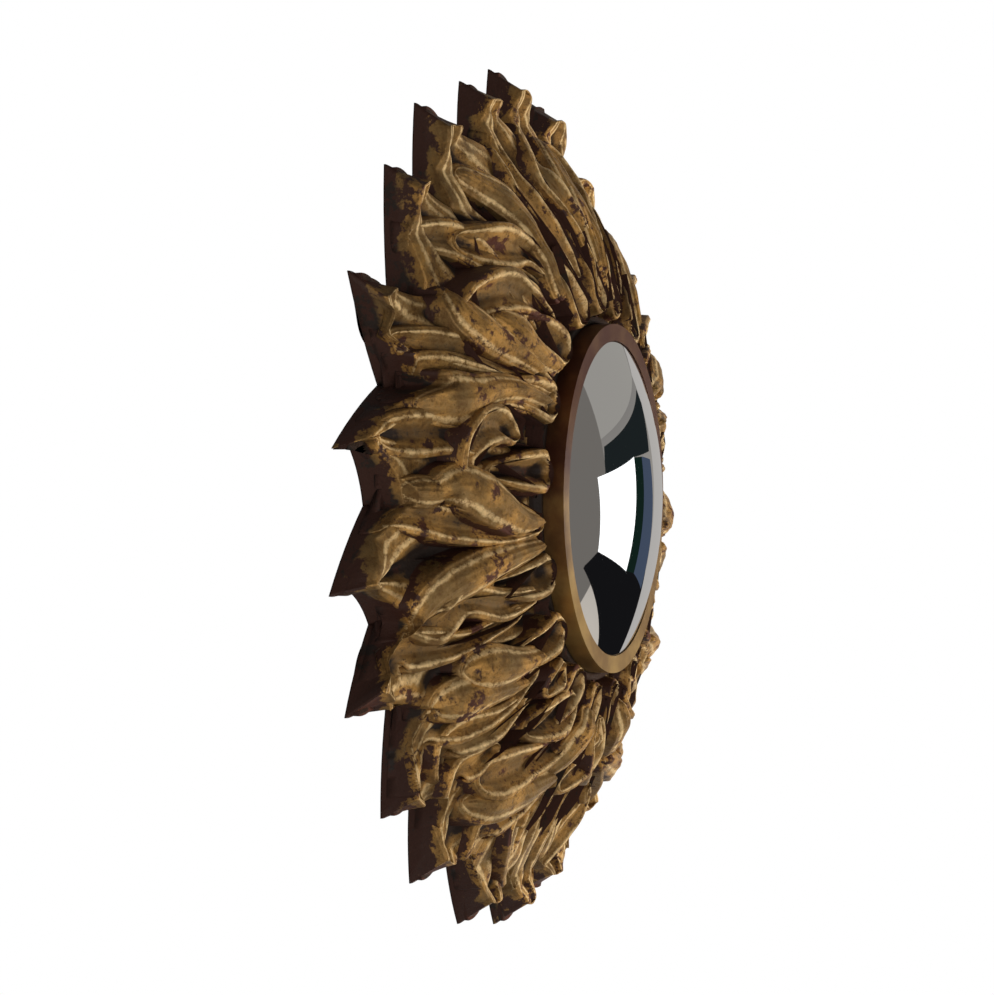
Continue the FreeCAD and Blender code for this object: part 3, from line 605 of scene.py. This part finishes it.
def spine(tip, count=120):
    """Middle of a main leaf, a cubic Bezier curve that leaves the root square to the ring.

    It ends upright, but near the mirror's level line it ends straight out from the root.
    """
    outer, inner = tip_corners(tip)
    end, aim = (outer + inner) / 2, np.array([0.0, tip[2]])
    inset = FINGER_WIDTH
    if abs(outer[1]) < LEVEL_TIP:
        aim = end - plan(190.0, tip[3])
        aim /= np.linalg.norm(aim)
        inset = 1.8 * FINGER_WIDTH
    end = end - aim * inset
    start = plan(LEAF_ROOT, tip[3])
    reach = np.linalg.norm(end - start)
    bends = np.array([start, plan(LEAF_ROOT + 0.4 * reach, tip[3]), end - aim * 0.4 * reach, end])
    s = np.linspace(0, 1, count)[:, None]
    weights = np.concatenate([(1 - s) ** 3, 3 * (1 - s) ** 2 * s, 3 * (1 - s) * s**2, s**3], 1)
    return weights @ bends


def even(points, count):
    """The same run of points with count points, evenly spaced along it."""
    gone = np.concatenate([[0], np.cumsum(np.hypot(*np.diff(points, axis=0).T))])
    place = np.linspace(0, gone[-1], count)
    return np.stack([np.interp(place, gone, points[:, 0]), np.interp(place, gone, points[:, 1])], -1)


def sunk(radius):
    """A height inside the casting: under the ground, and over the well in the back."""
    return np.where(radius < WELL_RADIUS, WELL_HEIGHT, valley(radius) - 6.0)


def bed(radius):
    """Height of the main leaves: the crest, let down beside the ring and under the lobes on them."""
    near = np.clip((radius - 118.0) / 44.0, 0, 1)
    far = np.clip((radius - 198.0) / 38.0, 0, 1)
    return crest(radius) - 8.0 * (1 - near**2 * (3 - 2 * near)) - 4.5 * (1 - far**2 * (3 - 2 * far))


def leaf_sides(number, middle):
    """The two sides of a main leaf, each from between two roots past its notch to the middle of its tip.

    Returns for each side its points and the share of the spine that each of them belongs to.
    """
    tip, before, after = TIPS[number], TIPS[number - 1], TIPS[(number + 1) % len(TIPS)]
    outer, inner = tip_corners(tip)
    first, second = (inner, outer) if (tip[2] > 0) == (outer[0] < 0) else (outer, inner)
    sides, shares = [], []
    for neighbour, notch, corner, far in ((before, before, first, second), (after, tip, second, first)):
        notch_place = plan(TIP_RADIUS - notch[5], notch[4])
        gap = (neighbour[3] - tip[3] + 180) % 360 - 180
        root = plan(LEAF_ROOT - 3, tip[3] + gap / 2)
        shared = (middle + spine(neighbour))[30:61:15] / 2
        valley_run = smooth_run(np.concatenate([[root], shared, [notch_place]]), 60)
        bulge = OUTER_BULGE if np.allclose(corner, outer) else INNER_BULGE
        flank = np.concatenate([valley_run[:-1], bulged(notch_place, corner, bulge, 20)])
        end = bulged(corner, far, TIP_BULGE, 20)[:11]
        side = even(np.concatenate([flank, end]), LEAF_AROUND // 2 + 1)
        flank_length = np.hypot(*np.diff(flank, axis=0).T).sum()
        whole = flank_length + np.hypot(*np.diff(end, axis=0).T).sum()
        sides.append(side)
        shares.append(np.minimum(np.linspace(0, whole / flank_length, len(side)), 1.0))
    return sides, shares


def leaf_body(number):
    """One main leaf, which fills its share of the frame from the ring to its blunt finger.

    Its edge runs from between two roots to a notch, round the finger and back.  Rings from the leaf's spine
    (a = 0) to that edge (a = 1) make a channel between two ridges, each with a fluted shoulder that falls to
    the valley between the leaves; past the notches the edge is a wall down to the back plane.
    """
    middle = spine(TIPS[number])
    sides, shares = leaf_sides(number, middle)
    loop = np.concatenate([sides[0][:-1], sides[1][:0:-1]])
    place = np.concatenate([shares[0][:-1], shares[1][:0:-1]]) * (len(middle) - 1)
    way = np.gradient(middle, axis=0)
    every = np.arange(len(middle))
    centre = np.stack([np.interp(place, every, column) for column in middle.T], -1)
    heading = np.stack([np.interp(place, every, column) for column in way.T], -1)
    heading /= np.linalg.norm(heading, axis=1, keepdims=True)
    reach = np.hypot(loop[:, 0], loop[:, 1])
    notched = np.clip((reach - NOTCH_RADIUS) / 16.0, 0, 1)
    beaked = 1.0 if number in BEAKS else 0.0
    tipped = np.clip((reach - (TIP_RADIUS - SLANT_START)) / 28.0, 0, 1) ** 1.5
    top_loop = loop - heading * tipped[:, None] * (SLANT + BEAK_SLANT * beaked)
    height = bed(np.hypot(centre[:, 0], centre[:, 1])) - 3.0 * beaked * tipped
    edge_height = bed(np.hypot(top_loop[:, 0], top_loop[:, 1])) - 7.0 * beaked * tipped
    half = np.linalg.norm(top_loop - centre, axis=1)
    deep = np.clip(half / 16.0, 0, 1) * CHANNEL
    drop = SHOULDER_DROP * (1 - notched) + TIP_DROP * notched
    foot = np.where(notched > 0, FOOT, sunk(reach))
    rings, marks = [], []
    for a in np.linspace(0, 1, LEAF_RINGS):
        flat = centre + (top_loop - centre) * a
        level = height + (edge_height - height) * a
        channel = deep * (1 - min(a / CHANNEL_EDGE, 1.0) ** 2) ** 1.5
        across = np.clip((a - CHANNEL_EDGE) / FLUTE_WIDTH, 0, 1)
        flute = 0.6 * deep * np.sin(np.pi * across) ** 2 * (1 - notched)
        shoulder = drop * np.clip((a - SHOULDER) / (1 - SHOULDER), 0, 1) ** 1.6
        vein = 0.25 * np.cos(9 * np.pi * a) * (1 - a)
        wobble = 0.7 * np.sin(0.19 * flat[:, 0] + 1.3) * np.sin(0.22 * flat[:, 1])
        rings.append((flat, np.maximum(level - channel - flute - shoulder + vein + wobble, foot + 1.0)))
        # Red mark: painted highlight on the two ridges; green mark: painted shade in the channel, flutes and
        # shoulders.
        ridge_highlight = math.exp(-(((a - 0.52) / 0.13) ** 2)) + math.exp(-(((a - 0.80) / 0.09) ** 2))
        hollow = np.clip((channel + flute + shoulder) / 9.0, 0, 1)
        marks.append(np.stack([np.full(LEAF_AROUND, min(ridge_highlight, 1.0)), hollow, np.zeros(LEAF_AROUND)], -1))
    top = rings[-1][1]
    outward = loop - centre
    outward /= np.maximum(np.linalg.norm(outward, axis=1, keepdims=True), 1e-9)
    for share in (0.06, 0.16, 0.35, 0.6, 0.85, 0.97, 1.0):
        sag = 1.2 * notched[:, None] * (1 - share) * share
        flat = top_loop + (loop - top_loop) * share - outward * sag
        level = top + (foot - top) * share
        rings.append((flat, level))
        # On the walls: a painted highlight near the top, painted shade in dark wax on the shoulders between
        # leaves, and the red ground on the tips' walls past the notches.
        down = np.clip((top - level) / 8.0, 0, 1)
        marks.append(np.stack([0.3 * (1 - down), 0.9 * (1 - notched), down * notched], -1))
    inward = np.hypot(centre[:, 0], centre[:, 1])
    closing = np.where(inward < SOLID_TIP, sunk(inward), foot)
    rings.append((centre + (loop - centre) * 0.02, closing))
    marks.append(marks[-1])
    grid = np.stack([np.stack([flat[:, 0], level, flat[:, 1]], -1) for flat, level in rings])
    return grid, np.stack(marks)


def polar(rows):
    """Stations given as (radius, angle, half width, lift), as lobe() takes them."""
    rows = np.asarray(rows, float)
    return np.concatenate([plan(rows[:, 0], rows[:, 1]), rows[:, 2:]], 1)


def mirrored(rows):
    """The same stations on the other side of the upright centre line."""
    rows = np.asarray(rows, float).copy()
    rows[:, 0] *= -1
    return rows


# Scoops, curls and blades of the left half, as (radius, angle, half width, lift) rows from root to tip, each
# with the depth of its hollow, which is negative for a turned-over, rounded lobe.
LEFT_LOBES = [
    # scoops that curl up against the ring
    ([(116, 97, 8, 1), (127, 98, 10, 2), (145, 98, 8, 1), (166, 100, 3, -2)], 10),
    ([(116, 116, 9, 1), (127, 117, 11, 3), (145, 117, 8, 2), (166, 118, 3, -2)], 11),
    ([(116, 136, 10, 1), (127, 137, 11, 4), (146, 140, 9, 3), (170, 144, 3, -2)], 12),
    ([(116, 154, 10, 1), (127, 155, 11, 4), (146, 157, 9, 3), (168, 159, 3, -2)], 12),
    ([(116, 174, 10, 1), (127, 174, 11, 4), (146, 175, 9, 3), (168, 176, 3, -2)], 12),
    ([(116, 200, 10, 1), (127, 201, 11, 4), (146, 200, 9, 3), (168, 198, 3, -2)], 12),
    ([(116, 220, 10, 1), (127, 219, 11, 4), (146, 217, 9, 3), (168, 214, 3, -2)], 12),
    ([(116, 243, 10, 1), (127, 242, 11, 3), (146, 240, 8, 2), (168, 237, 3, -2)], 11),
    ([(116, 262, 8, 1), (127, 261, 10, 2), (146, 260, 8, 1), (166, 258, 3, -2)], 10),
    # bulbs and hooks of the upper left, which taper to a stalk
    ([(158, 124, 4, 1), (176, 127, 7, 5), (190, 132, 12, 8), (205, 137, 10, 6), (216, 139, 5, 1)], 8),
    ([(140, 133, 4, 1), (164, 137, 8, 6), (182, 141, 12, 9), (196, 147, 10, 6), (203, 153, 5, 2)], 8),
    ([(142, 150, 4, 1), (163, 151, 7, 4), (187, 152, 10, 7), (205, 151, 11, 6), (215, 149, 6, 2)], -5),
    ([(123, 143, 5, 0), (147, 147, 8, 4), (168, 147, 11, 6), (184, 147, 6, 2)], -4),
    ([(130, 156, 4, 1), (155, 158, 6, 3), (176, 161, 8, 5), (190, 164, 11, 8), (206, 166, 14, 9),
      (222, 168, 8, 3)], -5),
    ([(152, 168, 5, 2), (168, 167, 9, 7), (182, 169, 11, 9), (189, 174, 8, 6), (184, 179, 4, 2)], 8),
    ([(130, 187, 4, 1), (154, 185, 9, 5), (178, 181, 13, 8), (197, 179, 11, 6), (212, 181, 4, 0)], -5),
    # long blades between the main leaves
    ([(123, 150, 5, 0), (150, 152, 9, 1), (186, 156, 10, 3), (212, 158, 9, 2), (236, 160, 5, 0)], 5),
    ([(126, 157, 5, 0), (160, 159, 9, 1), (205, 162, 12, 2), (236, 165, 7, 1)], 5),
    ([(178, 172, 5, 1), (200, 171, 10, 4), (220, 172, 12, 4), (238, 173, 8, 1)], 6),
    ([(196, 179, 4, 2), (207, 180, 7, 4), (218, 180, 7, 3), (228, 180, 3, 0)], -3),
    ([(126, 188, 4, 1), (160, 187.5, 7, 2), (197, 185, 9, 3), (222, 183, 9, 2), (238, 184, 4, 0)], 5),
    ([(127, 193, 4, 0), (162, 193, 8, 3), (190, 194, 11, 5), (213, 196, 10, 4), (230, 200, 5, 1)], -4),
    ([(140, 108, 4, 0), (170, 111, 8, 2), (200, 113, 11, 2), (230, 111, 7, 0)], 5),
    ([(140, 125, 4, 0), (170, 122, 8, 3), (200, 122, 10, 3), (230, 127, 6, 0)], -3),
    ([(126, 96, 4, 0), (152, 94, 7, 3), (182, 98, 9, 5), (206, 101, 10, 3), (230, 97, 6, 0)], 5),
    ([(140, 88, 4, 0), (170, 88, 8, 3), (200, 91, 10, 2), (227, 90, 6, 0)], -3),
    ([(150, 141, 4, 0), (185, 137, 8, 1), (215, 139, 10, 2), (238, 144, 6, 0)], 5),
    # curled lobes of the lower left
    ([(145, 219, 4, 1), (166, 215, 8, 6), (187, 211, 12, 8), (202, 209, 8, 4)], -5),
    ([(162, 221, 4, 1), (186, 216, 8, 5), (207, 213, 12, 7), (222, 212, 7, 3)], -5),
    ([(135, 205, 4, 0), (165, 202, 8, 3), (191, 198, 8, 5), (208, 200, 10, 5), (226, 198, 6, 2)], 6),
    ([(150, 206, 4, 0), (194, 205, 6, 3), (215, 203, 10, 5), (234, 202, 11, 4), (242, 206, 8, 2),
      (234, 210, 5, 0)], 6),
    ([(149, 222, 4, 1), (179, 221, 8, 4), (206, 218, 10, 5), (224, 215, 10, 3), (238, 217, 8, 2),
      (250, 221, 5, 0)], 6),
    ([(165, 225, 4, 1), (189, 223, 9, 6), (209, 220, 11, 6), (221, 220, 8, 3), (226, 225, 5, 0)], 5),
    ([(190, 229, 4, 1), (206, 227, 8, 5), (218, 226, 9, 4), (226, 229, 8, 2), (234, 234, 5, 0)], 5),
    ([(132, 246, 6, 1), (146, 241, 12, 6), (160, 236, 10, 5), (172, 232, 4, 1)], 11),
    ([(127, 231, 5, 1), (138, 230, 9, 5), (150, 230, 5, 2)], 9),
    ([(155, 252, 5, 2), (176, 241, 9, 6), (198, 234, 13, 8), (211, 230, 8, 4)], 8),
    ([(176, 252, 5, 2), (195, 242, 10, 7), (212, 236, 12, 7), (222, 232, 6, 2)], -5),
    ([(178, 251, 5, 2), (200, 245, 9, 5), (219, 242, 11, 4), (232, 244, 9, 2), (246, 250, 6, 0)], 6),
    ([(196, 252, 5, 1), (211, 251, 8, 4), (226, 258, 9, 2), (242, 266, 6, 0)], 5),
    ([(132, 256, 5, 1), (148, 254, 10, 7), (162, 252, 9, 5), (176, 250, 4, 1)], -4),
    ([(136, 271, 5, 1), (154, 271, 9, 6), (168, 266, 9, 4), (180, 260, 4, 1)], 6),
]


def gathered(lobes):
    """Several lobes' grids as one run of points, faces and marks."""
    points, faces, marks, count = [], [], [], 0
    for grid, mark in lobes:
        rows, columns = grid.shape[:2]
        points.append(grid.reshape(-1, 3))
        marks.append(mark.reshape(-1, 3))
        faces.append(grid_quads(rows, columns) + count)
        count += rows * columns
    return np.concatenate(points), np.concatenate(faces), np.concatenate(marks)


fingers = [leaf_body(number) for number in range(len(TIPS))]
left = [lobe(polar(rows), hollow) for rows, hollow in LEFT_LOBES]
right = [lobe(mirrored(polar(rows)), hollow) for rows, hollow in LEFT_LOBES]


def paint_cavity_shade(groups):
    """Marks each place by how far it lies below what stands round it.

    A map of heights, a millimetre a cell, is blurred further and further; painted shade, as dark wax, goes
    where a place is under the map blurred a little (small hollows) or a lot (gaps between leaves), and the
    rim's painted highlight is dimmed there.
    """
    every = np.concatenate([points for points, _, _ in groups])
    size = 580
    column = np.clip((every[:, 0] + size / 2).astype(int), 0, size - 1)
    row = np.clip((every[:, 2] + size / 2).astype(int), 0, size - 1)
    heights = np.zeros((size, size))
    np.maximum.at(heights, (row, column), every[:, 1])
    for _ in range(2):
        beside = np.maximum(np.roll(heights, 1, 0), np.roll(heights, 1, 1))
        heights = np.where(heights > 0, heights, beside)
    below = []
    spread = heights.copy()
    for reach in (2, 3, 4, 6, 8, 8):
        shifts = range(-reach, reach + 1)
        for axis in (0, 1):
            spread = sum(np.roll(spread, shift, axis) for shift in shifts) / len(shifts)
        below.append(spread[row, column] - every[:, 1])
    small, wide = np.clip((below[2] + 0.5) / 6.0, 0, 1), np.clip((below[5] + 1.0) / 11.0, 0, 1)
    low = small * 0.7 + wide * 0.6
    start = 0
    for points, _, marks in groups:
        shade_here = np.clip(low[start:start + len(points)], 0, 1)
        # Painted shade is added to the hollow mark, and the rim's painted highlight is dimmed where shade
        # falls.
        marks[:, 1] = np.clip(marks[:, 1] * 0.45 + shade_here, 0, 1)
        marks[:, 0] *= 1 - 0.8 * shade_here
        start += len(points)


half = len(TIPS) // 2
groups = [gathered(fingers[:half]), gathered(fingers[half:]), gathered(left), gathered(right)]
# Painted shade from the height map goes into the marks of every carved piece.
paint_cavity_shade(groups)
names = ("fingers_left", "fingers_right", "leaves_left", "leaves_right")
for name, (points, faces, marks) in zip(names, groups):
    carving = make_piece("carved_" + name, points, faces, marks)
    carving.data.materials.append(gilt)
    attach(carving, "frame")

# ---------------------------------------------------------------- brass ring and domed glass
# A turned brass ring with a flat lip holds the silvered dome.  Its brass is painted red-brown in its upper
# half as painted shade, and yellow lower down as painted light, for light that falls from below.
ring = nodes["mirror_ring"]
brass = bpy.data.materials.new("brass_ring")
brass.use_nodes = True
shader = brass.node_tree.nodes["Principled BSDF"]
paint = Value(brass.node_tree)
place = paint.node("ShaderNodeTexCoord", output=3)
cloud = paint.node("ShaderNodeTexNoise", Vector=place, Scale=30.0, Detail=5.0, Roughness=0.6)
upright = paint.node("ShaderNodeSeparateXYZ", output=2, in_0=place)
# Painted light: the lower half is painted bright yellow and the upper half dark red-brown, for light that
# falls from below.
lit_lower_half = (cloud * 0.10 - upright).step(0.01, 0.12)
clouded = cloud.step(0.35, 0.7)
shaded_brass = clouded.blend((0.070, 0.024, 0.013, 1), (0.12, 0.055, 0.024, 1))
highlit = clouded.blend((0.20, 0.110, 0.035, 1), (0.36, 0.22, 0.07, 1))
colour = lit_lower_half.blend(shaded_brass, highlit)
brass.node_tree.links.new(colour.socket, shader.inputs["Base Color"])
shader.inputs["Metallic"].default_value = 0.75
shader.inputs["Roughness"].default_value = 0.42
ring.data.materials.clear()
ring.data.materials.append(brass)

GLASS_RADIUS = 104.5
DOME_RADIUS = 233.0
DOME_TOP = 98.3
GLASS_THICKNESS = 3.0


def dome(radius, sphere, top):
    """Rows out from the middle of a spherical cap: height = top - (sphere - sqrt(sphere^2 - r^2))."""
    reach = np.linspace(0.0005, 1, 60) * radius
    turn = np.linspace(0, 2 * np.pi, 180, endpoint=False)
    height = top - (sphere - np.sqrt(sphere**2 - reach**2))
    return np.stack([
        reach[:, None] * np.cos(turn),
        np.repeat(height[:, None], len(turn), 1),
        reach[:, None] * np.sin(turn),
    ], -1)


front = dome(GLASS_RADIUS, DOME_RADIUS, DOME_TOP)
rear = dome(GLASS_RADIUS, DOME_RADIUS - GLASS_THICKNESS, DOME_TOP - GLASS_THICKNESS)[::-1]
grid = np.concatenate([front, rear])
glass = make_piece("domed_glass", grid.reshape(-1, 3), grid_quads(*grid.shape[:2]))
silver = bpy.data.materials.new("mirror_glass")
silver.use_nodes = True
shader = silver.node_tree.nodes["Principled BSDF"]
shader.inputs["Base Color"].default_value = (0.86, 0.87, 0.88, 1)
shader.inputs["Metallic"].default_value = 1.0
shader.inputs["Roughness"].default_value = 0.02
glass.data.materials.append(silver)
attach(glass, "frame")
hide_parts("convex_mirror")

# ---------------------------------------------------------------- packing, board, turn buttons, hanger, pads
# What closes the back: a felt ring and a brown board behind the glass, four brassed turn buttons on
# zinc-plated screws, and above them a brassed hanger.  Felt pads keep the frame off the wall.
FINISHES = {
    "felt": (("packing_ring", "bumper_pads"), (0.025, 0.022, 0.02, 1), 0.0, 0.95, 900.0),
    "hardboard": (("backing_board",), (0.13, 0.07, 0.035, 1), 0.0, 0.7, 300.0),
    "steel_screw": (("turn_button_screws", "hanger_screws"), (0.45, 0.45, 0.43, 1), 1.0, 0.35, 700.0),
    "brassed_steel": (
        ("turn_button_1", "turn_button_2", "turn_button_3", "turn_button_4", "hanger_plate", "hanger_ring"),
        (0.45, 0.29, 0.10, 1), 1.0, 0.3, 500.0),
}
for name, (wearers, colour, metal, dull, grain) in FINISHES.items():
    material = bpy.data.materials.new(name)
    material.use_nodes = True
    shader = material.node_tree.nodes["Principled BSDF"]
    paint = Value(material.node_tree)
    place = paint.node("ShaderNodeTexCoord", output=3)
    cloud = paint.node("ShaderNodeTexNoise", Vector=place, Scale=grain, Detail=4.0, Roughness=0.6)
    darker = tuple(channel * 0.55 for channel in colour[:3]) + (1,)
    links = material.node_tree.links
    links.new(cloud.step(0.3, 0.7).blend(darker, colour).socket, shader.inputs["Base Color"])
    links.new((cloud * 0.2 + (dull - 0.1)).socket, shader.inputs["Roughness"])
    shader.inputs["Metallic"].default_value = metal
    bump = paint.node("ShaderNodeBump", Height=cloud, Strength=0.3, Distance=0.0004)
    links.new(bump.socket, shader.inputs["Normal"])
    for wearer in wearers:
        nodes[wearer].data.materials.clear()
        nodes[wearer].data.materials.append(material)
